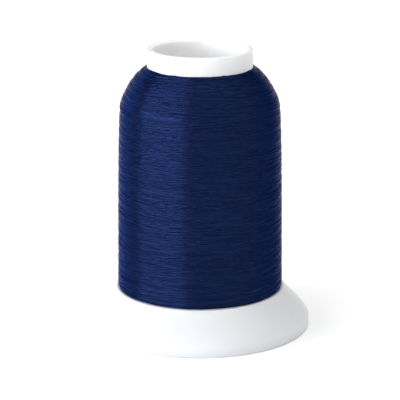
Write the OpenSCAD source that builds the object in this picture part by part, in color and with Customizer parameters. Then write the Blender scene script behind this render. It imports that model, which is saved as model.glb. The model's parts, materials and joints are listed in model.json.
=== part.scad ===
// Spool of thread with a wide snap-lock base.
//
// An open plastic barrel carries one cross-wound package of thread. Below the package the barrel
// has a thin flange, and a skirt-shaped base slides on the neck under that flange. Pulled apart,
// flange and base leave a gap in which the loose end of the thread is wrapped; pressed together,
// they nip it. Units are millimetres. The origin is the centre of the base's rim, +Z up.

/* [Barrel] */
// Height of the whole spool above the table
spool_h = 82.3; // [80:0.1:90]
// Outside diameter of the bare collar at the top
collar_d = 29.7; // [29.4:0.1:30.2]
// Outside diameter of the barrel at the flange
barrel_foot_d = 30.8; // [30.6:0.1:32]
// Diameter of the straight bore through the barrel
bore_d = 27; // [26.6:0.1:27.1]
// Radius that rounds the top rim
rim_round = 0.55; // [0.2:0.05:0.55]

/* [Flange and neck] */
// Diameter of the flange that the package stands on
flange_d = 47.2; // [46:0.1:47.4]
// Thickness of the flange
flange_t = 1.6; // [1.4:0.1:1.8]
// Diameter of the neck that the base slides on
neck_d = 30.4; // [30.2:0.1:30.6]
// Depth of the groove that the snap hooks run in
groove_depth = 0.8; // [0.75:0.05:0.9]

/* [Thread package] */
// Height of the package's bottom above the table
package_z = 11.8; // [11.6:0.1:13]
// Height at which the straight side ends and the shoulder begins
shoulder_z = 66.1; // [60:0.1:70]
// Height at which the shoulder meets the barrel
package_top_z = 76.9; // [74:0.1:79]
// Diameter at the bottom of the package
package_d = 48.3; // [48:0.1:48.6]
// Loss of radius from the bottom to the shoulder
package_taper = 0.6; // [0:0.05:1]
// Further loss of radius close to the shoulder
package_crown = 0.5; // [0:0.05:1]
// Radius that rounds the bottom edge of the package
package_edge = 0.8; // [0.4:0.1:1.2]

/* [Base] */
// Diameter of the base at the table
base_d = 64.4; // [60:0.1:68]
// Height of the straight band at the rim
band_h = 2.8; // [1.6:0.1:3.2]
// Diameter that the skirt flares in to
flare_d = 48.7; // [48.7:0.1:49.4]
// Wall thickness of the skirt
skirt_wall = 1.4; // [1:0.1:1.8]
// Thickness of the web under the flange
web_t = 1.5; // [1.2:0.1:1.7]
// Length of the snap fingers below the web
finger_l = 4; // [3.6:0.1:4.2]
// Travel of the base between closed and open
snap_travel = 2.5; // [1.5:0.1:2.6]

/* [Thread tail] */
// Diameter of the thread
thread_d = 0.35; // [0.2:0.05:0.35]
// Angle of the neck that the locked tail is wrapped round
tail_wrap_angle = 330; // [90:5:345]

/* [Label] */
// Outside diameter of the ring label under the base
label_d = 46; // [42:0.5:46]
// Diameter of the hole in the label
label_hole_d = 35; // [34:0.5:38]
// Thickness of the label
label_t = 0.1; // [0.08:0.01:0.2]

/* [Hidden] */
$fn = 96;

plastic = "white";
navy = "midnightblue";
paper = "ivory";

bore_r = bore_d / 2;
neck_r = neck_d / 2;
flange_r = flange_d / 2;
package_r = package_d / 2;
base_r = base_d / 2;
flare_r = flare_d / 2;

slide_gap = 0.1;             // running clearance of the base on the neck
nip_gap = 0.1;               // closed gap between flange and web
stop_gap = 0.1;              // clearance of a hook at either end of its groove
lip_clearance = 0.25;        // radial clearance of the lip round the flange
lip_z = package_z - 0.2;     // top of the lip, just clear of the package
flare_z = package_z + 0.7;   // height at which the skirt's curve would reach flare_r
flange_z = package_z - flange_t;
web_z = flange_z - nip_gap;  // top face of the web

hook_h = 1.2;
hook_reach = 0.6;            // how far a hook stands into the neck
finger_wall = 1.3;
finger_r = neck_r + slide_gap;
finger_z = web_z - web_t - finger_l;
finger_slot_w = 2.4;
key_w = 2;
key_h = 2;
key_reach = 1.1;             // how far a key stands out of the neck
key_count = 3;
groove_top_z = finger_z + hook_h + 2 * stop_gap;
groove_bottom_z = finger_z - snap_travel - stop_gap;
key_z = groove_top_z + 0.4;
foot_h = 1;                  // solid ring of barrel below the groove
foot_z = groove_bottom_z - foot_h;

gusset_count = 12;
gusset_t = 0.9;
gusset_r = 23.6;             // inner edge of the gussets
tail_az = 90;                // the tail enters on this side
tail_slot_w = 0.9;
tail_gap = 0.02;             // between the tail and what it is wound on
tail_groove_depth = 0.5;     // of the tail's groove in the web
tail_z = web_z - tail_groove_depth / 2;
tail_r = neck_r + thread_d / 2 + tail_gap;
tail_groove_r = tail_r + 0.8;
tail_sides = 8;
tail_step = 6;               // degrees between rings of the wrapped tail

rim_z = spool_h - rim_round;
crown_power = 6;             // keeps the crown's loss of radius close to the shoulder
shoulder_power = [1.22, 0.61];
skirt_power = [1.33, 1.43];
lead_in = 0.4;               // chamfer on the edges that slide
round_steps = 6;             // facets across a small profile arc
shoulder_steps = 22;
side_steps = 14;
skirt_steps = 14;

// Points of a profile arc about c, from angle a to angle b.
function arc(c, r, a, b, n = round_steps) =
    [for (i = [0 : n]) let (t = a + (b - a) * i / n) c + r * [cos(t), sin(t)]];

// Radius of the package on its straight side, at height z.
function side_r(z) =
    let (u = (z - package_z) / (shoulder_z - package_z))
    package_r - package_taper * u - package_crown * pow(u, crown_power);

// Radius of the barrel's tapered outside at height z.
function barrel_r(z) =
    barrel_foot_d / 2 + (collar_d - barrel_foot_d) / 2 * (z - package_z) / (rim_z - package_z);

// Radius of the rounded shoulder, t running from 0 at its foot to 1 at the barrel.
function shoulder_r(t) =
    let (top = barrel_r(package_top_z), foot = side_r(shoulder_z))
    top + (foot - top) * pow(1 - pow(t, shoulder_power[0]), shoulder_power[1]);

// Radius of the skirt's outside at height z: full at the band, sloping at about 45 degrees,
// and turning steeper again where it meets the lip.
function skirt_r(z) =
    let (t = (z - band_h) / (flare_z - band_h))
    flare_r + (base_r - flare_r) * pow(1 - pow(t, skirt_power[0]), skirt_power[1]);

// Points of the skirt's slope from the band up to height top.
function skirt_slope(top) =
    [for (i = [0 : skirt_steps]) let (z = band_h + (top - band_h) * i / skirt_steps)
        [skirt_r(z), z]];

module spin(points) {
    rotate_extrude() polygon(points);
}

module ring(r_in, r_out, z, h) {
    translate([0, 0, z]) difference() {
        cylinder(r = r_out, h = h);
        translate([0, 0, -1]) cylinder(r = r_in, h = h + 2);
    }
}

// A block that stands radially outwards from r0 to r1, w wide, at angle a.
module radial_block(r0, r1, w, z, h, a) {
    rotate(a) translate([r0, -w / 2, z]) cube([r1 - r0, w, h]);
}

function unit(v) = v / norm(v);

// Direction of a route at point i.
function route_dir(p, i) = unit(p[min(i + 1, len(p) - 1)] - p[max(i - 1, 0)]);

// Side vectors along a route, each one the last turned as little as possible.
function route_sides(p, u, i = 0) =
    i == len(p) ? [] :
    let (t = route_dir(p, i), v = unit(u - (u * t) * t))
    concat([v], route_sides(p, v, i + 1));

// One tube with n sides along a route; u is any direction across its start.
module tube(route, d, n, u) {
    side = route_sides(route, u);
    last = len(route) - 1;
    polyhedron(
        points = [for (i = [0 : last], k = [0 : n - 1])
            let (a = 360 * k / n, across = cross(route_dir(route, i), side[i]))
            route[i] + d / 2 * (cos(a) * side[i] + sin(a) * across)],
        faces = [
            [for (k = [n - 1 : -1 : 0]) k],
            for (i = [0 : last - 1], k = [0 : n - 1])
                let (j = (k + 1) % n) [i * n + k, i * n + j, (i + 1) * n + j, (i + 1) * n + k],
            [for (k = [0 : n - 1]) last * n + k]
        ]
    );
}

module barrel() {
    color(plastic) {
        spin([
            [bore_r, foot_z],
            [neck_r - lead_in, foot_z],
            [neck_r, foot_z + lead_in],
            [neck_r, groove_bottom_z],
            [neck_r - groove_depth, groove_bottom_z],
            [neck_r - groove_depth, groove_top_z],
            [neck_r, groove_top_z],
            [neck_r, flange_z],
            [flange_r - lead_in, flange_z],
            [flange_r, flange_z + lead_in],
            [flange_r, package_z - lead_in / 2],
            [flange_r - lead_in / 2, package_z],
            [barrel_r(package_z), package_z],
            each arc([collar_d / 2 - rim_round, rim_z], rim_round, 0, 90),
            each arc([bore_r + rim_round, rim_z], rim_round, 90, 180)
        ]);
        for (i = [0 : key_count - 1])
            radial_block(neck_r - groove_depth / 2, neck_r + key_reach, key_w,
                         key_z, key_h, i * 360 / key_count);
    }
}

module thread_package() {
    side = [for (i = [0 : side_steps])
        let (z = package_z + package_edge + (shoulder_z - package_z - package_edge) * i / side_steps)
        [side_r(z), z]];
    shoulder = [for (i = [1 : shoulder_steps])
        let (t = sin(90 * i / shoulder_steps))
        [shoulder_r(t), shoulder_z + (package_top_z - shoulder_z) * t]];
    edge_c = [side_r(package_z + package_edge) - package_edge, package_z + package_edge];
    color(navy) spin(concat(
        [[barrel_r(package_z), package_z]],
        arc(edge_c, package_edge, -90, -10),
        side,
        shoulder
    ));
}

module thread_tail() {
    side_x = package_r + thread_d / 2 + tail_gap;
    drop_x = flange_r + 0.35;
    lead = [
        [side_x, 0, package_z + 1.4],
        [side_x, 0, package_z + 0.6],
        [side_x - 0.12, 0, package_z],
        [drop_x, 0, package_z - 0.6],
        [drop_x, 0, flange_z + 0.2],
        [drop_x - 0.2, 0, tail_z + 0.15],
        [drop_x - 0.6, 0, tail_z],
        [tail_r + 1.6, 0, tail_z],
        [tail_r + 0.7, -0.05, tail_z],
        [tail_r + 0.25, -0.4, tail_z]
    ];
    wrap = [for (a = [tail_step / 2 : tail_step : tail_wrap_angle])
        [tail_r * cos(a), -tail_r * sin(a), tail_z]];
    color(navy) rotate(tail_az) tube(concat(lead, wrap), thread_d, tail_sides, [0, 1, 0]);
}

module snap_hooks() {
    tip_r = neck_r - hook_reach;
    chamfer = hook_reach / 2;
    spin([
        [tip_r + chamfer, finger_z],
        [finger_r + finger_wall, finger_z],
        [finger_r + finger_wall, web_z - web_t / 2],
        [finger_r, web_z - web_t / 2],
        [finger_r, finger_z + hook_h + stop_gap],
        [tip_r, finger_z + hook_h - chamfer],
        [tip_r, finger_z + chamfer]
    ]);
}

// Everything inside the skirt's wall, from below the table up to the lip.
module skirt_inside() {
    wall = [skirt_wall, skirt_wall / 4];
    spin([
        [0, -1],
        [base_r - skirt_wall, -1],
        for (p = skirt_slope(lip_z)) p - wall,
        [0, lip_z - wall[1]]
    ]);
}

module skirt_shell() {
    edge = 0.25;
    difference() {
        spin([
            [0, 0],
            [base_r - edge, 0],
            [base_r, edge],
            each skirt_slope(lip_z),
            [0, lip_z]
        ]);
        intersection() {
            skirt_inside();
            translate([0, 0, -1]) cylinder(r = base_r, h = web_z - web_t + 1);
        }
        translate([0, 0, web_z]) cylinder(r = flange_r + lip_clearance, h = flange_t + 1);
        translate([0, 0, -1]) cylinder(r = finger_r, h = package_z + 2);
    }
}

// Thin ribs that tie the underside of the web to the skirt.
module gussets() {
    foot_r = base_r - skirt_wall - 0.8;
    intersection() {
        for (i = [0 : gusset_count - 1])
            radial_block(gusset_r, base_r, gusset_t, 0, web_z - web_t / 2,
                         (i + 0.5) * 360 / gusset_count);
        spin([
            [gusset_r, web_z],
            [gusset_r, web_z - web_t - 1],
            [foot_r, band_h - 0.6],
            [foot_r, band_h + 1.2],
            [flare_r, web_z]
        ]);
    }
}

module snap_base() {
    color(plastic) difference() {
        union() {
            skirt_shell();
            snap_hooks();
            gussets();
        }
        translate([0, 0, web_z - tail_groove_depth])
            cylinder(r = tail_groove_r, h = tail_groove_depth + 1);
        radial_block(neck_r, skirt_r(web_z) + 1, tail_slot_w, web_z - tail_groove_depth,
                     flange_t + tail_groove_depth + 1, tail_az);
        for (i = [0 : 2 * key_count - 1])
            radial_block(neck_r - 2, finger_r + finger_wall + 0.01, finger_slot_w, finger_z - 1,
                         finger_l + 1, i * 180 / key_count);
        for (i = [0 : key_count - 1])
            radial_block(neck_r - 2, finger_r + finger_wall, finger_slot_w, finger_z,
                         web_z - finger_z + 1, i * 360 / key_count);
    }
}

module base_label() {
    color(paper) ring(label_hole_d / 2, label_d / 2, web_z - web_t - label_t, label_t);
}

barrel();
thread_package();
thread_tail();
snap_base();
base_label();
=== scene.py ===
"""Spool of thread: the looks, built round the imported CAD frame.

The package is one yarn laid turn by turn, as a winding machine lays it. Each turn rests on those
below it, and the stretches that stay in sight become tubes over a closed core. The two white
mouldings are turned and cut meshes with small fillets. Lengths are in metres.
"""

import json
import math

import bpy
import numpy as np
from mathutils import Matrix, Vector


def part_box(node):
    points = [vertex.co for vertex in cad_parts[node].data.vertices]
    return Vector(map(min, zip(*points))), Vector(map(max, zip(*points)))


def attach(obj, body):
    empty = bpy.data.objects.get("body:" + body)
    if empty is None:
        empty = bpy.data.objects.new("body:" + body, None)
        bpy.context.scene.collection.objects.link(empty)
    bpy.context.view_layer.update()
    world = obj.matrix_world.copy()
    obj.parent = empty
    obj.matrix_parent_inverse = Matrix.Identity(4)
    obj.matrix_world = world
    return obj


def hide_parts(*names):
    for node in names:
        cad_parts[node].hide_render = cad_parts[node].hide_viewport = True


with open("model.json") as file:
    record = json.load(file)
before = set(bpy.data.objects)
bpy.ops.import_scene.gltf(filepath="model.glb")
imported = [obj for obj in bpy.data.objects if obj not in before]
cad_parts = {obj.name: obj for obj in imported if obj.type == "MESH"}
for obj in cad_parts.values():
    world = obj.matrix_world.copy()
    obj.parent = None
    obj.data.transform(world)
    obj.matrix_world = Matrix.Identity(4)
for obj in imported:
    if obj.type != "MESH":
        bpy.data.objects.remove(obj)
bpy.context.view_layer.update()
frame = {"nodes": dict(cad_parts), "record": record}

MM = 0.001
SEED = 7
rng = np.random.default_rng(SEED)


# ---------------------------------------------------------------- sizes read from the frame

def cad_points(node):
    """Radius and height of every vertex of a CAD node."""
    co = np.empty(len(frame["nodes"][node].data.vertices) * 3)
    frame["nodes"][node].data.vertices.foreach_get("co", co)
    co = co.reshape(-1, 3)
    return np.hypot(co[:, 0], co[:, 1]), co[:, 2]


def outer_radius(node, low, high):
    """Largest radius of a CAD node between two heights."""
    r, z = cad_points(node)
    return float(r[(z >= low) & (z <= high)].max())


def inner_radius(node, low, high):
    """Smallest radius of a CAD node between two heights."""
    r, z = cad_points(node)
    return float(r[(z >= low) & (z <= high)].min())


def cad_heights(node, near, far, below=1.0):
    """Lowest and highest vertex of a CAD node between two radii, under a height."""
    r, z = cad_points(node)
    chosen = z[(r >= near) & (r <= far) & (z < below)]
    return float(chosen.min()), float(chosen.max())


TOUCH = 0.02 * MM    # a gap too small to see, and the reach of a search for vertices
package_low, package_high = (corner.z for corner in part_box("thread_package"))
barrel_low, barrel_high = (corner.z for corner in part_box("barrel"))
base_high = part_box("snap_base")[1].z
base_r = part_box("snap_base")[1].x
flange_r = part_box("barrel")[1].x
collar_r = outer_radius("barrel", package_high + MM, barrel_high)
foot_r = inner_radius("thread_package", package_low - TOUCH, package_low + TOUCH)
bore_r = frame["record"]["mounts"][0]["dims"]["r_mm"] * MM


# ---------------------------------------------------------------- camera, light and floor

CAMERA_DISTANCE = 0.5105     # from the spool's axis
CAMERA_HEIGHT = 0.1798
CAMERA_PITCH = 15.6          # degrees below the horizon
CAMERA_LENS = 163.1          # millimetres
FLOOR_HALF = 12.0
FLOOR_GREY = 0.96
WORLD_STRENGTH = 0.58
SPOOL_MIDDLE = (0, 0, 0.04)

# name: place, target, size, power, colour
LIGHTS = {
    "key": ((-0.76, -0.50, 0.22), SPOOL_MIDDLE, (1.3, 0.28), 10, (0.92, 0.95, 1)),
    "rim": ((-0.95, 0.75, 0.3), SPOOL_MIDDLE, (0.8, 0.5), 2.8, (1, 1, 1)),
    "overhead": ((-0.05, 0, 2.2), (0, 0, 0), (4, 4), 52, (1, 1, 1)),
}


def make_camera():
    """The camera, in front of the spool and looking a little down at it."""
    data = bpy.data.cameras.new("camera")
    data.lens = CAMERA_LENS
    camera = bpy.data.objects.new("camera", data)
    camera.location = (0, -CAMERA_DISTANCE, CAMERA_HEIGHT)
    camera.rotation_euler = (math.radians(90 - CAMERA_PITCH), 0, 0)
    bpy.context.scene.collection.objects.link(camera)
    bpy.context.scene.camera = camera


def aim(obj, target):
    """Turns a light so that it shines towards a point."""
    direction = np.array(target) - np.array(obj.location)
    flat = math.hypot(direction[0], direction[1])
    obj.rotation_euler = (
        math.atan2(flat, -direction[2]),
        0,
        math.atan2(direction[1], direction[0]) - math.pi / 2,
    )


def make_light(name, place, target, size, power, colour):
    """A rectangular soft light."""
    data = bpy.data.lights.new(name, "AREA")
    data.shape = "RECTANGLE"
    data.size, data.size_y = size
    data.energy = power
    data.color = colour
    light = bpy.data.objects.new(name, data)
    light.location = place
    aim(light, target)
    bpy.context.scene.collection.objects.link(light)


def make_world():
    """Even white light from all round."""
    world = bpy.data.worlds.new("studio")
    world.use_nodes = True
    background = world.node_tree.nodes["Background"]
    background.inputs["Color"].default_value = (1, 1, 1, 1)
    background.inputs["Strength"].default_value = WORLD_STRENGTH
    bpy.context.scene.world = world


def make_floor():
    """A plain pale floor."""
    corners = [(x * FLOOR_HALF, y * FLOOR_HALF, 0) for x, y in ((-1, -1), (1, -1), (1, 1), (-1, 1))]
    mesh = bpy.data.meshes.new("floor")
    mesh.from_pydata(corners, [], [(0, 1, 2, 3)])
    floor = bpy.data.objects.new("floor", mesh)
    bpy.context.scene.collection.objects.link(floor)
    material = bpy.data.materials.new("floor")
    material.use_nodes = True
    shader = material.node_tree.nodes["Principled BSDF"]
    shader.inputs["Base Color"].default_value = (FLOOR_GREY, FLOOR_GREY, FLOOR_GREY, 1)
    shader.inputs["Roughness"].default_value = 0.9
    shader.inputs["Specular IOR Level"].default_value = 0.1
    mesh.materials.append(material)


# ---------------------------------------------------------------- meshes

def mesh_from_quads(name, points, quads, uv=None):
    """A mesh object from an array of points and an array of four-cornered faces."""
    mesh = bpy.data.meshes.new(name)
    mesh.vertices.add(len(points))
    mesh.vertices.foreach_set("co", np.ascontiguousarray(points, np.float32).ravel())
    mesh.loops.add(quads.size)
    mesh.loops.foreach_set("vertex_index", quads.astype(np.int32).ravel())
    mesh.polygons.add(len(quads))
    mesh.polygons.foreach_set("loop_start", np.arange(0, quads.size, 4, dtype=np.int32))
    mesh.polygons.foreach_set("use_smooth", np.ones(len(quads), bool))
    if uv is not None:
        layer = mesh.uv_layers.new(name="strand")
        layer.uv.foreach_set("vector", uv.astype(np.float32).ravel())
    mesh.update(calc_edges=True)
    mesh.validate()
    obj = bpy.data.objects.new(name, mesh)
    bpy.context.scene.collection.objects.link(obj)
    return obj


def ring_quads(columns, count):
    """The faces between copies of a closed outline, one copy at each column of a ring."""
    i, j = np.meshgrid(np.arange(columns), np.arange(count), indexing="ij")
    on = (i + 1) % columns
    up = (j + 1) % count
    quads = np.stack([i * count + j, on * count + j, on * count + up, i * count + up], -1)
    return quads.reshape(-1, 4)


# ---------------------------------------------------------------- the outline of the package

ROW = 0.05 * MM            # height of one cell of the winding's height map, along the outline
COLUMNS = 720              # cells round the package
CELL = 0.21 * MM           # width of a cell, round the package
CORNER_GAP = 0.5 * MM      # the outline leaves out the CAD's own corner at the flange, this high
CORNER_BLUR = 6            # rows over which the outline's corners are eased
LAP = 0.25 * MM            # how far the first turns hang over the edge of the flange
CLIMB = 0.5 * MM           # how far the last turns ride up the collar


def smooth(values, sigma):
    """Gaussian blur along the last axis, with the ends held."""
    reach = int(4 * sigma) + 1
    kernel = np.exp(-0.5 * (np.arange(-reach, reach + 1) / sigma) ** 2)
    kernel /= kernel.sum()
    pad = [(0, 0)] * (values.ndim - 1) + [(reach, reach)]
    held = np.pad(values, pad, mode="edge")
    spectrum = np.fft.rfft(held, axis=-1, n=held.shape[-1] + 2 * reach)
    spectrum *= np.fft.rfft(kernel, n=held.shape[-1] + 2 * reach)
    full = np.fft.irfft(spectrum, axis=-1, n=held.shape[-1] + 2 * reach)
    return full[..., 2 * reach:2 * reach + values.shape[-1]]


def package_outline():
    """Radius, height and outward normal along the package's outside, one row every ROW."""
    r, z = cad_points("thread_package")
    outside = r > foot_r + MM
    pairs = np.unique(np.round(np.stack([z[outside], r[outside]], 1), 6), axis=0)
    pairs = pairs[(pairs[:, 0] > package_low + CORNER_GAP) & (pairs[:, 0] < package_high - TOUCH)]
    bottom = np.array([package_low, flange_r + LAP])
    top = np.array([package_high + CLIMB, collar_r + TOUCH])
    onward = (top - pairs[-1]) / np.linalg.norm(top - pairs[-1])
    pairs = np.vstack([bottom - [LAP, 0], bottom, pairs, top, top + LAP * onward])
    step = np.hypot(*np.diff(pairs, axis=0).T)
    along = np.concatenate([[0], np.cumsum(step)])
    rows = np.arange(0, along[-1], ROW)
    height = smooth(np.interp(rows, along, pairs[:, 0]), CORNER_BLUR)
    radius = smooth(np.interp(rows, along, pairs[:, 1]), CORNER_BLUR)
    normal = np.stack([np.gradient(height), -np.gradient(radius)], 1)
    normal /= np.linalg.norm(normal, axis=1, keepdims=True)
    return radius, height, normal


# ---------------------------------------------------------------- winding

STRAND_WIDE = 0.15 * MM    # half width of a laid strand, pressed a little flat
STRAND_HIGH = 0.10 * MM    # half height
SINK = 0.5 * STRAND_HIGH   # how far a strand presses into what it lies on
PITCH = 9.6 * MM           # rise in one turn
SPACING = 0.29 * MM        # from one laid strand to the next beside it
STROKES = 96               # up and down again
CORE_STROKES = 50          # of these, the first ones, which only shape the core
UNEVEN = 0.01 * MM         # roughness of the ground that the first strands lie on
TENSION = 7                # columns over which the pull evens a strand's height
HELD = 60                  # columns of a strand that steady the next part laid
SHOWN_DEPTH = 0.03 * MM    # a cell this near under the surface still shows
SHOWN_CELLS = 2            # of a strand's width, enough for it to be seen

EDGE_GAP = 0.12 * MM       # the nearest that a strand comes to either end
STEEP_CHANCE = 0.10        # share of the strokes that rise faster than the others
STEEP_RISE = (1.5, 2.1)    # times the pitch
EVEN_RISE = (0.97, 1.03)   # times the pitch, of the other strokes
TURN_HIGH = 52 * MM        # along the outline: the lowest place where an upward stroke turns back
TURN_LOW = 3 * MM          # the highest place where a downward one does
HIGH_CROWDING = 2.4        # how strongly the turning places keep to the top
LOW_CROWDING = 1.6         # and to the bottom
LANE_STRAY = 0.25          # of the step from one lane to the next
SPARE_TURNS = 0.3          # the least part of a turn that the guide takes to reverse
HIGH_SHARE = 0.75          # share of the reversing that is done at the top
SETTLE = 0.35 * MM         # drift in each turn laid while the guide reverses
TURN_BLUR = 34             # columns over which the guide changes direction
WANDER = 0.04 * MM         # how far a strand strays from its lane
WANDER_BLUR = 45           # columns

LEVEL_BLUR = 1.2 * MM      # waves wider than this are taken out of the height map's relief
WRAPPED = 8                # one part in so many is repeated past the map's seam, for the blur
END_BLUR = 0.2 * MM        # what that blur misses at the ends is taken out over this length
WAVE_SHARE = 0.15          # share of the wide waves round the package that is kept
PILE_HIGH = 0.05 * MM      # the most that a pile of strands stands over the level
GAP_DEEP = 0.06 * MM       # the most that a gap lies under it

SIDES = 6                  # of a tube
RING_STEP = 7              # columns from one ring of a tube to the next
TONE_BLUR = 400            # columns over which the yarn's shade changes
TURN_PIECES = ("thread_turns_low", "thread_turns_middle", "thread_turns_high")
CORE_COLUMNS = 240
CORE_ROWS = 340
CORE_CLEAR = 0.2 * MM      # between the core and the collar
CORE_CORNER = 2 * MM       # under the package's top, where the core leaves the collar


class Winding:
    """A height map over the package's outline, and the strands laid on it."""

    def __init__(self, rows):
        self.heights = rng.normal(0, UNEVEN, (COLUMNS, rows))
        reach = int(STRAND_WIDE / ROW)
        self.offsets = np.arange(-reach, reach + 1)
        self.lift = STRAND_HIGH * np.sqrt(1 - (self.offsets * ROW / STRAND_WIDE) ** 2)
        self.rows = rows

    def cells(self, column, place):
        """Indices of the cells under each point of a strand."""
        rows = np.rint(place / ROW).astype(int)[:, None] + self.offsets
        return column[:, None] % COLUMNS, np.clip(rows, 0, self.rows - 1)

    def lay(self, column, place):
        """Lays a strand, half a turn at a time, and returns the height of its middle."""
        chunk = COLUMNS // 2
        middle = np.empty(len(column))
        before = np.empty(0)
        for start in range(0, len(column), chunk):
            part = slice(start, start + chunk)
            where = self.cells(column[part], place[part])
            resting = (self.heights[where] + self.lift).max(1) - SINK
            pulled = smooth(np.concatenate([before, resting]), TENSION)[-len(resting):]
            middle[part] = pulled
            before = pulled[-HELD:]
            np.maximum.at(self.heights, where, pulled[:, None] + self.lift)
        return middle

    def in_sight(self, column, place, middle):
        """True where some of a strand shows on the finished package."""
        where = self.cells(column, place)
        top = middle[:, None] + self.lift
        return (top >= self.heights[where] - SHOWN_DEPTH).sum(1) >= SHOWN_CELLS


def yarn(length):
    """The whole yarn, sample by sample: its column, its place along the outline and its stroke."""
    slope = []
    stroke_of = []
    lane = 0.0
    for stroke in range(STROKES):
        is_steep = rng.random() < STEEP_CHANCE
        pitch = PITCH * rng.uniform(*(STEEP_RISE if is_steep else EVEN_RISE))
        high = length - EDGE_GAP - (length - TURN_HIGH) * rng.random() ** HIGH_CROWDING
        low = EDGE_GAP + TURN_LOW * rng.random() ** LOW_CROWDING
        rise = high - low
        free_turns = 2 * rise / pitch
        lane += SPACING / PITCH * (1 + LANE_STRAY * rng.normal())
        turns = math.ceil(free_turns + SPARE_TURNS - lane % 1) + lane % 1
        columns = int(rise / pitch * COLUMNS)
        high_stay = int((turns - free_turns) * COLUMNS * HIGH_SHARE)
        low_stay = int(round(turns * COLUMNS)) - 2 * columns - high_stay
        back = rise - SETTLE * high_stay / COLUMNS
        slope.append(np.concatenate([
            np.full(columns, rise / columns),
            np.full(high_stay, -SETTLE / COLUMNS),
            np.full(columns, -back / columns),
            np.zeros(low_stay),
        ]))
        stroke_of.append(np.full(len(slope[-1]), stroke))
    place = EDGE_GAP + np.cumsum(smooth(np.concatenate(slope), TURN_BLUR))
    wander = smooth(rng.normal(0, 1, len(place)), WANDER_BLUR)
    place += WANDER * wander / wander.std()
    place = EDGE_GAP + np.abs(place - EDGE_GAP)
    place = np.minimum(place, 2 * (length - EDGE_GAP) - place)
    return np.arange(len(place)), place, np.concatenate(stroke_of)


def runs(mask, margin, shortest):
    """Start and end of each stretch where mask holds, widened by margin at both ends."""
    wide = np.convolve(mask, np.ones(2 * margin + 1), "same") > 0
    edges = np.flatnonzero(np.diff(np.concatenate([[0], wide.astype(np.int8), [0]])))
    pairs = edges.reshape(-1, 2)
    return pairs[pairs[:, 1] - pairs[:, 0] >= shortest]


class Package:
    """The wound package: what lies where, and the way from outline places to points."""

    def __init__(self):
        self.radius, self.height, self.normal = package_outline()
        rows = len(self.radius)
        self.winding = Winding(rows)
        column, place, stroke = yarn(rows * ROW)
        cut = int(np.searchsorted(stroke, CORE_STROKES))
        self.winding.lay(column[:cut], place[:cut])
        self.core = self.winding.heights.copy()
        self.column = column[cut:]
        self.place = place[cut:]
        self.middle = self.winding.lay(self.column, self.place)
        self.level = self.local_level()
        self.tone = smooth(rng.normal(0, 1, len(self.place)), TONE_BLUR)
        self.tone /= self.tone.std()

    def local_level(self):
        """The height in the map that lies on the CAD outline, so that only fine relief stays."""
        heights = self.winding.heights
        along = smooth(heights, LEVEL_BLUR / ROW)
        margin = COLUMNS // WRAPPED
        wrapped = np.concatenate([along[-margin:], along, along[:margin]]).T
        blurred = smooth(wrapped, LEVEL_BLUR / CELL).T[margin:-margin]
        waves = blurred - blurred.mean(0)
        missed = smooth((heights - blurred).mean(0), END_BLUR / ROW)
        return blurred - WAVE_SHARE * waves + missed

    def points(self, angle, place, lift):
        """Points at an angle round the axis, a place along the outline and a height above it."""
        at = place / ROW
        rows = np.arange(len(self.radius))
        out = np.interp(at, rows, self.normal[:, 0])
        up = np.interp(at, rows, self.normal[:, 1])
        r = np.interp(at, rows, self.radius) + lift * out
        z = np.interp(at, rows, self.height) + lift * up
        return np.stack([r * np.cos(angle), r * np.sin(angle), z], -1)

    def above(self, height, column, place):
        """A height in the map as one over the CAD outline, with gaps and piles evened."""
        rows = np.clip(np.rint(place / ROW).astype(int), 0, self.level.shape[1] - 1)
        relief = height - self.level[column % COLUMNS, rows]
        most = np.where(relief > 0, PILE_HIGH, GAP_DEEP)
        return most * np.tanh(relief / most) - PILE_HIGH


def wall_corners(u0, u1, v0, v1):
    """Places on the strand of the four corners of each wall of a tube."""
    corners = [(u0, v0), (u0, v1), (u1, v1), (u1, v0)]
    return np.stack([np.stack(corner, 1) for corner in corners], 1)


def tubes(name, package, chosen):
    """Tubes for the chosen stretches of yarn, each closed at both ends."""
    samples = [np.append(np.arange(a, b - RING_STEP // 2, RING_STEP), b - 1) for a, b in chosen]
    rings = np.concatenate(samples)
    run = np.repeat(np.arange(len(samples)), [len(x) for x in samples])
    side = np.arange(SIDES)
    turn = side * 2 * np.pi / SIDES
    angle = package.column[rings] * 2 * np.pi / COLUMNS
    place = package.place[rings]
    lift = package.above(package.middle[rings], package.column[rings], place)
    points = package.points(
        angle[:, None],
        place[:, None] + STRAND_WIDE * np.sin(turn),
        lift[:, None] + STRAND_HIGH * np.cos(turn),
    ).reshape(-1, 3)
    first = np.flatnonzero(run[1:] == run[:-1])
    a = first[:, None] * SIDES + side
    b = first[:, None] * SIDES + (side + 1) % SIDES
    walls = np.stack([a, b, b + SIDES, a + SIDES], -1).reshape(-1, 4)
    starts = np.flatnonzero(np.diff(run, prepend=-1)) * SIDES
    ends = np.flatnonzero(np.diff(run, append=len(samples))) * SIDES
    # two four-cornered faces close each end
    caps = np.concatenate([
        starts[:, None] + [3, 2, 1, 0],
        starts[:, None] + [5, 4, 3, 0],
        ends[:, None] + [0, 1, 2, 3],
        ends[:, None] + [0, 3, 4, 5],
    ])
    along = rings / COLUMNS * 2 * np.pi * package.radius[0]
    u0 = np.repeat(along[first], SIDES)
    u1 = np.repeat(along[first + 1], SIDES)
    v0 = np.tile(side / SIDES, len(first))
    v1 = v0 + 1 / SIDES
    wall_uv = wall_corners(u0, u1, v0, v1)
    cap_uv = np.zeros((len(caps), 4, 2))
    faces = np.concatenate([walls, caps])
    obj = mesh_from_quads(name, points, faces, np.concatenate([wall_uv, cap_uv]))
    tone = np.repeat(package.tone[rings], SIDES)
    attribute = obj.data.attributes.new("tone", "FLOAT", "POINT")
    attribute.data.foreach_set("value", tone.astype(np.float32))
    return obj


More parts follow.
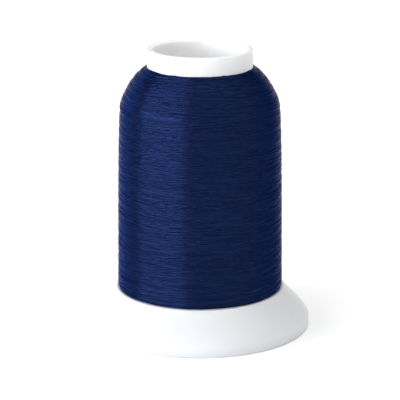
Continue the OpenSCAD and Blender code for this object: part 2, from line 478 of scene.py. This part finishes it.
def make_turns(package):
    """The turns of yarn in sight, as three pieces from the bottom of the package to its top."""
    shown = package.winding.in_sight(package.column, package.place, package.middle)
    found = runs(shown, RING_STEP, 3 * RING_STEP)
    centre = package.place[found.sum(1) // 2]
    order = np.argsort(centre)
    size = (found[:, 1] - found[:, 0])[order]
    share = np.cumsum(size) / size.sum()
    count = len(TURN_PIECES)
    pieces = []
    for part, name in enumerate(TURN_PIECES):
        members = order[(share > part / count) & (share <= (part + 1) / count)]
        pieces.append(tubes(name, package, found[np.sort(members)]))
    return pieces


def make_core(package):
    """The closed ring of thread under the turns in sight."""
    every = COLUMNS // CORE_COLUMNS
    last_row = package.core.shape[1] - 1
    edges = np.linspace(0, last_row, CORE_ROWS).astype(int)
    place = edges * ROW
    low = package.core[::every]
    lowest = np.minimum.reduce([low[:, np.clip(edges + k, 0, last_row)] for k in (-1, 0, 1)])
    lift = package.above(lowest, np.arange(0, COLUMNS, every)[:, None], place[None, :]) - TOUCH
    angle = np.arange(CORE_COLUMNS) * 2 * np.pi / CORE_COLUMNS
    outside = package.points(angle[:, None], place[None, :], lift)
    ring = np.stack([np.cos(angle), np.sin(angle)], -1)
    inner = [
        (collar_r + CORE_CLEAR, package_high - CORE_CORNER),
        (foot_r + TOUCH, package_low + TOUCH),
        (flange_r + TOUCH, package_low + TOUCH),
    ]
    inside = np.stack([
        np.concatenate([ring * r, np.full((CORE_COLUMNS, 1), z)], 1) for r, z in inner
    ], 1)
    grid = np.concatenate([outside, inside], 1)
    faces = ring_quads(CORE_COLUMNS, grid.shape[1])
    return mesh_from_quads("thread_package_core", grid.reshape(-1, 3), faces)


# ---------------------------------------------------------------- the white mouldings

SEGMENTS = 192
EDGE = 0.2 * MM            # fillet on most moulded edges
FINE_EDGE = 0.3 * MM
SOFT_EDGE = 0.4 * MM
FLANGE_EDGE = 0.5 * MM
FILLET_SHARE = 0.45        # the most that a fillet takes of the edge beside it
FILLET_STEPS = 4
RIM_STEPS = 7
SHARP_ANGLE = 38           # degrees: two faces that meet at less than this shade as one


def rounded(corners, steps=FILLET_STEPS):
    """An outline with its corners rounded: each corner is (radius from axis, height, fillet)."""
    outline = []
    spots = [np.array(corner[:2]) for corner in corners]
    for i, here in enumerate(spots):
        to_last = spots[i - 1] - here
        to_next = spots[(i + 1) % len(spots)] - here
        last_long = np.linalg.norm(to_last)
        next_long = np.linalg.norm(to_next)
        reach = min(corners[i][2], FILLET_SHARE * last_long, FILLET_SHARE * next_long)
        if reach == 0:
            outline.append(here)
            continue
        start = here + reach * to_last / last_long
        end = here + reach * to_next / next_long
        for t in np.linspace(0, 1, steps):
            outline.append((1 - t) ** 2 * start + 2 * t * (1 - t) * here + t ** 2 * end)
    return np.array(outline)


def turned(name, outline):
    """A closed outline turned round the axis."""
    angle = np.arange(SEGMENTS) * 2 * np.pi / SEGMENTS
    ring = np.stack([np.cos(angle), np.sin(angle)], -1)[:, None]
    flat = ring * outline[None, :, :1]
    height = np.broadcast_to(outline[None, :, 1:], (SEGMENTS, len(outline), 1))
    points = np.concatenate([flat, height], -1).reshape(-1, 3)
    return mesh_from_quads(name, points, ring_quads(SEGMENTS, len(outline)))


def prisms(name, parts):
    """Upright slabs: each has an outline of (radius, height), a width, and an angle to stand at."""
    vertices, faces = [], []
    for outline, width, turn in parts:
        count = len(outline)
        first = len(vertices)
        for y in (-width / 2, width / 2):
            for x, z in outline:
                vertices.append((
                    x * math.cos(turn) - y * math.sin(turn),
                    x * math.sin(turn) + y * math.cos(turn),
                    z,
                ))
        faces.append([first + k for k in range(count)])
        faces.append([first + count + k for k in reversed(range(count))])
        for k in range(count):
            on = (k + 1) % count
            faces.append([first + k, first + count + k, first + count + on, first + on])
    mesh = bpy.data.meshes.new(name)
    mesh.from_pydata(vertices, [], faces)
    obj = bpy.data.objects.new(name, mesh)
    bpy.context.scene.collection.objects.link(obj)
    return obj


def block(r0, r1, z0, z1):
    """The outline of a slab with straight sides."""
    return [(r0, z0), (r1, z0), (r1, z1), (r0, z1)]


def combine(obj, tool, operation):
    """Adds a tool to a solid or takes it away, and leaves plain mesh."""
    modifier = obj.modifiers.new("tool", "BOOLEAN")
    modifier.object = tool
    modifier.operation = operation
    modifier.solver = "EXACT"
    view = bpy.context.evaluated_depsgraph_get()
    mesh = bpy.data.meshes.new_from_object(obj.evaluated_get(view))
    obj.modifiers.clear()
    obj.data = mesh
    bpy.data.objects.remove(tool)


def finish_moulding(obj):
    """Smooth shading, with the sharp edges kept."""
    obj.data.polygons.foreach_set("use_smooth", np.ones(len(obj.data.polygons), bool))
    obj.data.set_sharp_from_angle(angle=math.radians(SHARP_ANGLE))
    obj.data.update()


def around(count, offset=0.0):
    """Evenly spaced angles round the axis."""
    return [(i + offset) * 2 * math.pi / count for i in range(count)]


KEYS = 3
KEY_WIDE = 2 * MM
NIP_GAP = 0.1 * MM           # between the flange and the base's web
WALL_LEAST = 0.5 * MM        # the wall under the groove is thicker than this
STEP_LEAST = 0.6 * MM        # the groove and the keys are deeper than this
flange_low = cad_heights("barrel", flange_r - MM, flange_r)[0]
neck_r = inner_radius("barrel", flange_low - TOUCH, flange_low + TOUCH)
groove_low, groove_high = cad_heights("barrel", bore_r + WALL_LEAST, neck_r - STEP_LEAST)
key_r = outer_radius("barrel", barrel_low, flange_low - MM)
key_low, key_high = cad_heights("barrel", neck_r + STEP_LEAST, key_r, flange_low - MM)
web_high = flange_low - NIP_GAP


def make_barrel():
    """The tube: collar, flange, grooved neck and keys. The rim is as round as the wall allows."""
    groove_r = inner_radius("barrel", groove_low - TOUCH, groove_low + TOUCH)
    wall = collar_r - bore_r
    barrel = turned("barrel_moulding", rounded([
        (bore_r, barrel_low, FINE_EDGE),
        (neck_r, barrel_low, SOFT_EDGE),
        (neck_r, groove_low, EDGE),
        (groove_r, groove_low, EDGE),
        (groove_r, groove_high, EDGE),
        (neck_r, groove_high, EDGE),
        (neck_r, flange_low, EDGE),
        (flange_r, flange_low, FLANGE_EDGE),
        (flange_r, package_low, SOFT_EDGE),
        (foot_r, package_low, EDGE),
        (collar_r, barrel_high, wall),
        (bore_r, barrel_high, wall),
    ], RIM_STEPS))
    keys = [
        (block(neck_r - EDGE, key_r, key_low, key_high), KEY_WIDE, turn) for turn in around(KEYS)
    ]
    combine(barrel, prisms("keys", keys), "UNION")
    finish_moulding(barrel)
    return barrel


BAND_HIGH = 2.8 * MM         # straight band at the rim
FLARE_R = 24.35 * MM         # radius that the skirt's curve runs in to
FLARE_RISE = 0.7 * MM        # above the package's bottom
SKIRT_POWER = (1.33, 1.43)   # how the skirt's curve bends
SKIRT_STEPS = 28
SKIRT_WALL = (1.4 * MM, 0.35 * MM)    # inward and down, from the outside to the inside
WEB_THICK = 1.5 * MM         # of the ring under the flange
LIP_GAP = 0.25 * MM          # between the lip and the flange
SLIDE_GAP = 0.1 * MM         # between the neck and the fingers
FINGER_LONG = 4 * MM
FINGER_WALL = 1.3 * MM
FINGER_SLOT = 2.4 * MM       # between two fingers, and round a key
HOOK_HIGH = 1.2 * MM
HOOK_REACH = 0.6 * MM
CUT_REACH = 2 * MM           # how far a cutting block starts inside the neck
GUSSETS = 12
GUSSET_THICK = 0.9 * MM
GUSSET_R = 23.6 * MM         # where a rib starts
GUSSET_INSET = 0.8 * MM      # from the skirt's inside to a rib's foot
GUSSET_FOOT = (-0.6 * MM, 1.2 * MM)   # bottom and top of the foot, from the top of the band
TAIL_TURN = math.pi / 2      # the tail goes in at the back
TAIL_SLOT = 0.9 * MM         # width of its slot in the lip
TAIL_THICK = 0.35 * MM
TAIL_GROOVE = 0.5 * MM       # depth of its groove in the web
TAIL_ROOM = 0.82 * MM        # from the middle of a tail on the neck to the groove's outer wall


def skirt(top, steps):
    """Outside of the skirt from the band up to a height, as (radius, height, no fillet)."""
    end = package_low + FLARE_RISE
    for z in np.linspace(BAND_HIGH, top, steps):
        t = (z - BAND_HIGH) / (end - BAND_HIGH)
        fall = (1 - t ** SKIRT_POWER[0]) ** SKIRT_POWER[1]
        yield FLARE_R + (base_r - FLARE_R) * fall, z, 0


def make_base():
    """The skirt with its lip, web, hooked fingers, ribs, and the slot for the thread's end."""
    finger_r = neck_r + SLIDE_GAP
    finger_out = finger_r + FINGER_WALL
    finger_low = web_high - WEB_THICK - FINGER_LONG
    tip_r = neck_r - HOOK_REACH
    lip_r = flange_r + LIP_GAP
    web_low = web_high - WEB_THICK
    groove_r = neck_r + TAIL_THICK / 2 + TAIL_ROOM
    outside = list(skirt(base_high, SKIRT_STEPS))
    inside = [(r - SKIRT_WALL[0], z - SKIRT_WALL[1], 0) for r, z, _ in reversed(outside)]
    inside = [corner for corner in inside if corner[1] < web_low - EDGE]
    reach = np.interp(web_low, *np.array([(z, r) for r, z, _ in reversed(inside)]).T)
    base = turned("base_moulding", rounded([
        (base_r - SKIRT_WALL[0], 0, EDGE),
        (base_r, 0, FINE_EDGE),
        *outside[:-1],
        (outside[-1][0], base_high, EDGE),
        (lip_r, base_high, EDGE),
        (lip_r, web_high, FINE_EDGE),
        (groove_r, web_high, EDGE),
        (groove_r, web_high - TAIL_GROOVE, EDGE),
        (finger_r, web_high - TAIL_GROOVE, EDGE),
        (finger_r, finger_low + HOOK_HIGH + SLIDE_GAP, EDGE),
        (tip_r, finger_low + HOOK_HIGH - HOOK_REACH / 2, EDGE),
        (tip_r, finger_low + HOOK_REACH / 2, EDGE),
        (tip_r + HOOK_REACH / 2, finger_low, EDGE),
        (finger_out, finger_low, EDGE),
        (finger_out, web_low, SOFT_EDGE),
        (reach, web_low, SOFT_EDGE),
        *inside,
    ]))
    foot = base_r - SKIRT_WALL[0] - GUSSET_INSET
    rib = [
        (GUSSET_R, web_low + EDGE),
        (GUSSET_R, web_low - MM),
        (foot, BAND_HIGH + GUSSET_FOOT[0]),
        (foot, BAND_HIGH + GUSSET_FOOT[1]),
        (FLARE_R, web_low + EDGE),
    ]
    ribs = [(rib, GUSSET_THICK, turn) for turn in around(GUSSETS, 0.5)]
    combine(base, prisms("ribs", ribs), "UNION")
    inner = neck_r - CUT_REACH
    slots = [
        (block(inner, finger_out + EDGE, finger_low - MM, web_low), FINGER_SLOT, turn)
        for turn in around(2 * KEYS)
    ]
    slots += [
        (block(inner, finger_out, web_low - MM, web_high + MM), FINGER_SLOT, turn)
        for turn in around(KEYS)
    ]
    tail_cut = block(neck_r, base_r, web_high - TAIL_GROOVE, package_low + MM)
    slots.append((tail_cut, TAIL_SLOT, TAIL_TURN))
    for slot in slots:
        combine(base, prisms("slot", [slot]), "DIFFERENCE")
    finish_moulding(base)
    return base


LABEL_EDGE = 0.03 * MM       # fillet on the label's cut edges


def make_label():
    """The ring sticker under the base."""
    low_corner, high_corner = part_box("base_label")
    hole = inner_radius("base_label", low_corner.z, high_corner.z)
    return turned("base_label_print", rounded([
        (hole, low_corner.z, LABEL_EDGE),
        (high_corner.x, low_corner.z, LABEL_EDGE),
        (high_corner.x, high_corner.z, LABEL_EDGE),
        (hole, high_corner.z, LABEL_EDGE),
    ]))


# ---------------------------------------------------------------- the tail of the thread

TAIL_GAP = 0.02 * MM         # between the tail and what it lies along
TAIL_WRAP = 327              # degrees of the neck that the tail goes round
TAIL_SIDES = 10
TAIL_STEP = 0.25 * MM        # from one ring of the tube to the next
TAIL_BLUR = 1.2              # steps over which its bends are eased
TAIL_TIP = 0.4 * MM          # length of its cut end
TIP_SHARE = 0.8              # thickness of the cut end, of the whole
WRAP_START = 3               # degrees
WRAP_STEP = 6                # degrees from one corner of the route to the next


def tail_route():
    """Down from the package, through the lip's slot, and round the neck in the web's groove."""
    side_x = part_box("thread_package")[1].x + TAIL_THICK / 2 + TAIL_GAP
    drop_x = flange_r + TAIL_THICK
    z = web_high - TAIL_GROOVE / 2
    wrap_r = neck_r + TAIL_THICK / 2 + TAIL_GAP
    # each row is one bend: down beside the package, over the lip, and along the groove to the neck
    lead = np.array([
        (side_x, 0, package_low + 1.4 * MM),
        (side_x, 0, package_low + 0.6 * MM),
        (side_x - 0.12 * MM, 0, package_low),
        (drop_x, 0, package_low - 0.6 * MM),
        (drop_x, 0, flange_low + 0.2 * MM),
        (drop_x - 0.2 * MM, 0, z + 0.15 * MM),
        (drop_x - 0.6 * MM, 0, z),
        (wrap_r + 1.6 * MM, 0, z),
        (wrap_r + 0.7 * MM, -0.05 * MM, z),
        (wrap_r + 0.25 * MM, -0.4 * MM, z),
    ])
    turn = np.radians(np.arange(WRAP_START, TAIL_WRAP + 1, WRAP_STEP))
    wrap = np.stack([wrap_r * np.cos(turn), -wrap_r * np.sin(turn), np.full(len(turn), z)], -1)
    return np.concatenate([lead, wrap])


def make_tail():
    """A tube along the route, closed at both ends."""
    corners = tail_route()
    along = np.concatenate([[0], np.cumsum(np.linalg.norm(np.diff(corners, axis=0), axis=1))])
    steps = np.arange(0, along[-1], TAIL_STEP)
    path = np.stack([smooth(np.interp(steps, along, axis), TAIL_BLUR) for axis in corners.T], -1)
    ahead = np.gradient(path, axis=0)
    ahead /= np.linalg.norm(ahead, axis=1, keepdims=True)
    side = np.cross(ahead, [0, 1, 0])
    for i in range(1, len(side)):
        side[i] = side[i - 1] - ahead[i] * (side[i - 1] @ ahead[i])
    side /= np.linalg.norm(side, axis=1, keepdims=True)
    other = np.cross(ahead, side)
    turn = np.arange(TAIL_SIDES) * 2 * np.pi / TAIL_SIDES
    half = TAIL_THICK / 2 * np.where(steps > along[-1] - TAIL_TIP, TIP_SHARE, 1)
    rings = path[:, None] + half[:, None, None] * (
        side[:, None] * np.cos(turn)[:, None] + other[:, None] * np.sin(turn)[:, None]
    )
    swing = np.array([
        [math.cos(TAIL_TURN), -math.sin(TAIL_TURN), 0],
        [math.sin(TAIL_TURN), math.cos(TAIL_TURN), 0],
        [0, 0, 1],
    ])
    points = rings.reshape(-1, 3) @ swing.T
    count = len(path)
    i, j = np.meshgrid(np.arange(count - 1), np.arange(TAIL_SIDES), indexing="ij")
    on = (j + 1) % TAIL_SIDES
    here = i * TAIL_SIDES
    there = here + TAIL_SIDES
    walls = np.stack([here + j, here + on, there + on, there + j], -1).reshape(-1, 4)
    start = np.array([[0, k, k - 1, k - 2] for k in range(TAIL_SIDES - 1, 2, -2)][::-1])
    end = (count - 1) * TAIL_SIDES + start[:, ::-1]
    u0 = i.ravel() * TAIL_STEP
    u1 = u0 + TAIL_STEP
    v0 = j.ravel() / TAIL_SIDES
    v1 = v0 + 1 / TAIL_SIDES
    wall_uv = wall_corners(u0, u1, v0, v1)
    uv = np.concatenate([wall_uv, np.zeros((2 * len(start), 4, 2))])
    return mesh_from_quads("thread_tail_yarn", points, np.concatenate([walls, start, end]), uv)


# ---------------------------------------------------------------- materials

THREAD_DARK = (0.0064, 0.0134, 0.0485)
THREAD_LIGHT = (0.0102, 0.0203, 0.078)
THREAD_METALLIC = 0.95       # filament shines in its own colour
THREAD_IOR = 1.15
THREAD_EDGE_TINT = (0.46, 0.49, 0.67, 1)
THREAD_ROUGHNESS = 0.22
ROUGHNESS_SPREAD = 0.07      # either way
MOTTLE = 0.3                 # the most that fibres, and slubs, shift the colour along its range
TONE_RANGE = (0.5, 0.66)     # place in the colour range of the darkest and the lightest yarn
FIBRE_LONG = 0.5 * MM
FIBRES_ACROSS = 3            # round the yarn
SLUB_LONG = 9 * MM
SLUBS_ACROSS = 0.2
TWIST_LONG = 1.6 * MM
TWIST_SCALE = math.pi / 10   # of a wave texture, for one wave in a unit
FIBRE_DEEP = 0.006 * MM      # also the depth of the twist
FIBRE_STRENGTH = 0.6

BARREL_LIGHT = (0.985, 0.985, 0.99)
BARREL_DARK = (0.965, 0.965, 0.97)
BARREL_GLOW = 0.5            # share of the light that scatters under the surface
# painted shade: the base is the same white plastic as the barrel, painted darker to dim the strong
# light that its upturned skirt catches
BASE_SHADED_LIGHT = (0.665, 0.675, 0.69)
BASE_SHADED_DARK = (0.63, 0.64, 0.655)
BASE_GLOW = 0.6
GLOW_DEEP = 3 * MM
PLASTIC_PLAIN = 0.36         # roughness where the nodes aren't read
PLASTIC_ROUGHNESS = (0.30, 0.40)
PLASTIC_RANGE = (0.15, 0.6)  # of the noise, from the dark colour to the light one
CLOUD = (60, 4.0)            # scale and detail of a noise
GRAIN = (3500, 2.0)
GRAIN_DEEP = 0.006 * MM
SCUFF_SCALE = (900, 900, 5000)
SCUFF_DETAIL = 5.0
SCUFF_RANGE = (0.56, 0.70)   # of the noise, from no scuff to a full one
SCUFF_DARKENS = 0.4
SCUFF_ROUGHENS = 0.25
SCUFF_DEEP = 0.01 * MM
SURFACE_STRENGTH = 0.5       # of the bumps of plastic and paper

INK = (0.012, 0.025, 0.10)
STOCK = (0.86, 0.855, 0.83)
PULP = (0.5, 0.49, 0.46, 1)
PULP_SHARE = 0.12
PULP_FIBRE = (1800, 4.0)     # scale and detail
PULP_DEEP = 0.01 * MM
PAPER_PLAIN = 0.5            # roughness where the nodes aren't read
PAPER_ROUGHNESS = (0.42, 0.6)
INNER_RING = (0.785, 0.80)   # of the label's radius, where each printed ring starts and ends
OUTER_RING = (0.945, 0.975)
LABEL_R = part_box("base_label")[1].x

NO_MARK = (0, 0, 0)
FULL_MARK = (1, 1, 1)


class Shader:
    """A material being built: nodes by short type name, and links from socket to socket."""

    def __init__(self, name, plain_roughness):
        self.material = bpy.data.materials.new(name)
        self.material.use_nodes = True
        self.tree = self.material.node_tree
        self.surface = self.tree.nodes["Principled BSDF"]
        self.surface.inputs["Roughness"].default_value = plain_roughness

    def node(self, kind, **inputs):
        """A node with its inputs set by name, or linked where a socket is given."""
        node = self.tree.nodes.new("ShaderNode" + kind)
        for name, value in inputs.items():
            self.put(value, node.inputs[name.replace("_", " ")])
        return node

    def put(self, value, socket):
        """Links a socket to another, or sets its value."""
        if isinstance(value, bpy.types.NodeSocket):
            self.tree.links.new(value, socket)
        else:
            socket.default_value = value

    def noise(self, where, scale, detail=3.0):
        """Cloudy noise from 0 to 1."""
        return self.node("TexNoise", Vector=where, Scale=scale, Detail=detail).outputs["Fac"]

    def stretch(self, where, scale):
        """Coordinates scaled by a different amount along each axis."""
        return self.node("Mapping", Vector=where, Scale=scale).outputs["Vector"]

    def math(self, operation, first, second):
        """The result of one operation on two values."""
        node = self.tree.nodes.new("ShaderNodeMath")
        node.operation = operation
        self.put(first, node.inputs[0])
        self.put(second, node.inputs[1])
        return node.outputs[0]

    def ramp(self, value, stops):
        """Colours by value: stops are (position, colour)."""
        node = self.node("ValToRGB", Fac=value)
        elements = node.color_ramp.elements
        for element, (position, colour) in zip(elements, stops):
            element.position = position
            element.color = (*colour, 1)
        for position, colour in stops[len(elements):]:
            elements.new(position).color = (*colour, 1)
        return node.outputs["Color"]

    def between(self, value, low, high):
        """A value from 0 to 1 moved to a range."""
        return self.node("MapRange", Value=value, To_Min=low, To_Max=high).outputs["Result"]

    def bump(self, height, distance, strength=1.0, normal=None):
        """A normal tilted by a height, over the plain surface or over another bump."""
        node = self.node("Bump", Height=height, Distance=distance, Strength=strength)
        if normal:
            self.put(normal, node.inputs["Normal"])
        return node.outputs["Normal"]

    def surface_put(self, **inputs):
        """Sets or links the inputs of the surface itself."""
        for name, value in inputs.items():
            self.put(value, self.surface.inputs[name.replace("_", " ")])


def thread_material():
    """Dyed filament yarn: dark navy, brighter along some stretches, with a lazy twist and fibres."""
    shader = Shader("navy_thread", THREAD_ROUGHNESS)
    strand = shader.node("UVMap")
    strand.uv_map = "strand"
    along = strand.outputs["UV"]
    tone = shader.node("Attribute")
    tone.attribute_name = "tone"
    fibres = shader.noise(shader.stretch(along, (1 / FIBRE_LONG, FIBRES_ACROSS, 1)), 1.0)
    slubs = shader.noise(shader.stretch(along, (1 / SLUB_LONG, SLUBS_ACROSS, 1)), 1.0)
    fibre_shade = shader.between(fibres, -MOTTLE, MOTTLE)
    slub_shade = shader.between(slubs, -MOTTLE, MOTTLE)
    mottle = shader.math("ADD", fibre_shade, slub_shade)
    value = shader.math("ADD", shader.between(tone.outputs["Fac"], *TONE_RANGE), mottle)
    colour = shader.ramp(value, [(0.0, THREAD_DARK), (1.0, THREAD_LIGHT)])
    turns = shader.stretch(along, (1 / TWIST_LONG, 1, 1))
    twist = shader.node("TexWave", Vector=turns, Scale=TWIST_SCALE)
    twist.bands_direction = "DIAGONAL"
    smoothest = THREAD_ROUGHNESS - ROUGHNESS_SPREAD
    roughest = THREAD_ROUGHNESS + ROUGHNESS_SPREAD
    ply = shader.bump(twist.outputs["Fac"], FIBRE_DEEP)
    shader.surface_put(
        Base_Color=colour,
        Metallic=THREAD_METALLIC,
        Roughness=shader.between(fibres, smoothest, roughest),
        IOR=THREAD_IOR,
        Specular_Tint=THREAD_EDGE_TINT,
        Normal=shader.bump(fibres, FIBRE_DEEP, FIBRE_STRENGTH, ply),
    )
    return shader.material


def plastic_material(name, light, dark, glow):
    """Satin moulded plastic: faint clouding, a fine moulded texture, and scuffs from handling."""
    shader = Shader(name, PLASTIC_PLAIN)
    place = shader.node("TexCoord").outputs["Object"]
    cloud = shader.noise(place, *CLOUD)
    grain = shader.noise(place, *GRAIN)
    scuffs = shader.noise(shader.stretch(place, SCUFF_SCALE), 1.0, SCUFF_DETAIL)
    marks = shader.ramp(scuffs, [(SCUFF_RANGE[0], NO_MARK), (SCUFF_RANGE[1], FULL_MARK)])
    handled = shader.math("MULTIPLY", marks, cloud)
    shade = shader.math("SUBTRACT", cloud, shader.between(handled, 0, SCUFF_DARKENS))
    moulded = shader.between(cloud, *PLASTIC_ROUGHNESS)
    rough = shader.math("ADD", moulded, shader.between(handled, 0, SCUFF_ROUGHENS))
    grained = shader.bump(grain, GRAIN_DEEP, SURFACE_STRENGTH)
    shader.surface_put(
        Base_Color=shader.ramp(shade, [(PLASTIC_RANGE[0], dark), (PLASTIC_RANGE[1], light)]),
        Roughness=rough,
        Subsurface_Weight=glow,
        Subsurface_Radius=(1.0, 1.0, 1.0),
        Subsurface_Scale=GLOW_DEEP,
        Normal=shader.bump(handled, SCUFF_DEEP, SURFACE_STRENGTH, grained),
    )
    return shader.material


def paper_material():
    """Coated label paper with printed rings and no words."""
    shader = Shader("label_paper", PAPER_PLAIN)
    place = shader.node("TexCoord").outputs["Object"]
    flat = shader.stretch(place, (1, 1, 0))
    radius = shader.node("VectorMath", Vector=flat)
    radius.operation = "LENGTH"
    fibre = shader.noise(place, *PULP_FIBRE)
    across = shader.math("DIVIDE", radius.outputs["Value"], LABEL_R)
    stops = [(0.0, STOCK)]
    for start, end in (INNER_RING, OUTER_RING):
        stops += [(start, INK), (end, STOCK)]
    rings = shader.ramp(across, stops)
    rings.node.color_ramp.interpolation = "CONSTANT"
    blend = shader.node("Mix", Factor=shader.between(fibre, 0.0, PULP_SHARE))
    blend.data_type = "RGBA"
    shader.put(rings, blend.inputs["A"])
    shader.put(PULP, blend.inputs["B"])
    shader.surface_put(
        Base_Color=blend.outputs["Result"],
        Roughness=shader.between(fibre, *PAPER_ROUGHNESS),
        Normal=shader.bump(fibre, PULP_DEEP, SURFACE_STRENGTH),
    )
    return shader.material


def paint(obj, material):
    """Gives a piece its one material."""
    obj.data.materials.clear()
    obj.data.materials.append(material)


# ---------------------------------------------------------------- the scene

make_camera()
make_world()
make_floor()
for light_name, settings in LIGHTS.items():
    make_light(light_name, *settings)

navy = thread_material()
barrel_white = plastic_material("barrel_plastic", BARREL_LIGHT, BARREL_DARK, BARREL_GLOW)
# painted shade: the base's white plastic gets darker colours than the barrel's
base_shaded_white = plastic_material("base_plastic_painted_shade", BASE_SHADED_LIGHT, BASE_SHADED_DARK, BASE_GLOW)
paper = paper_material()


def place_piece(piece, material, body, node=None):
    """Paints a piece, and says which body it rides, and the CAD node it replaces."""
    paint(piece, material)
    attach(piece, body)
    if node:
        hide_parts(node)


package = Package()
place_piece(make_core(package), navy, "spool", "thread_package")
for piece in make_turns(package):
    place_piece(piece, navy, "spool")
place_piece(make_tail(), navy, "spool", "thread_tail")
place_piece(make_barrel(), barrel_white, "spool", "barrel")
place_piece(make_base(), base_shaded_white, "base", "snap_base")
place_piece(make_label(), paper, "base", "base_label")

bpy.context.scene.view_settings.view_transform = "Standard"
